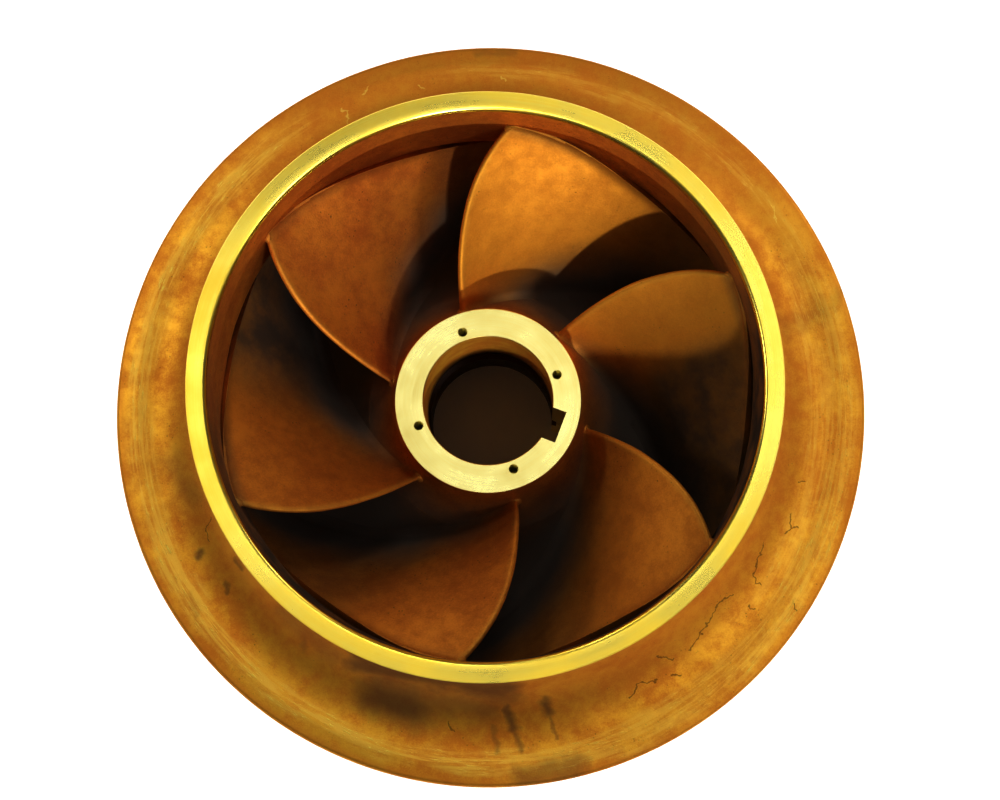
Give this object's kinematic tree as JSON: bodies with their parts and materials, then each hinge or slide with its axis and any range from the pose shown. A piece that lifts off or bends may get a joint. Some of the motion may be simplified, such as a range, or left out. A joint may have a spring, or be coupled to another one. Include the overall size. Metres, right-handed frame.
{
  "type": "closed pump impeller",
  "caption": "Closed mixed-flow pump impeller: a turned ring around the eye, two shrouds with swept vanes between them, and a keyed bore.",
  "frame": {"origin": "centre of the rear face of the hub, which the impeller rests on", "axes": "+Z along the shaft axis toward the eye, +X to the right and +Y away from the viewer in the picture"},
  "size_m": [0.447, 0.447, 0.174],
  "materials": {
    "turned_bronze": "turned bare bronze, bright yellow, fine lathe marks",
    "cast_bronze": "sand-cast bronze, orange brown and mottled, turned near the rim",
    "waterway_bronze": "sand-cast bronze, dark red brown with worn edges"
  },
  "bodies": {
    "root": {"eye_ring": "turned_bronze", "shroud_neck": "cast_bronze", "front_shroud": "cast_bronze", "back_shroud": "cast_bronze", "hub": "turned_bronze", "vane_1": "waterway_bronze", "vane_2": "waterway_bronze", "vane_3": "waterway_bronze", "vane_4": "waterway_bronze", "vane_5": "waterway_bronze", "vane_6": "waterway_bronze"}
  },
  "joints": []
}
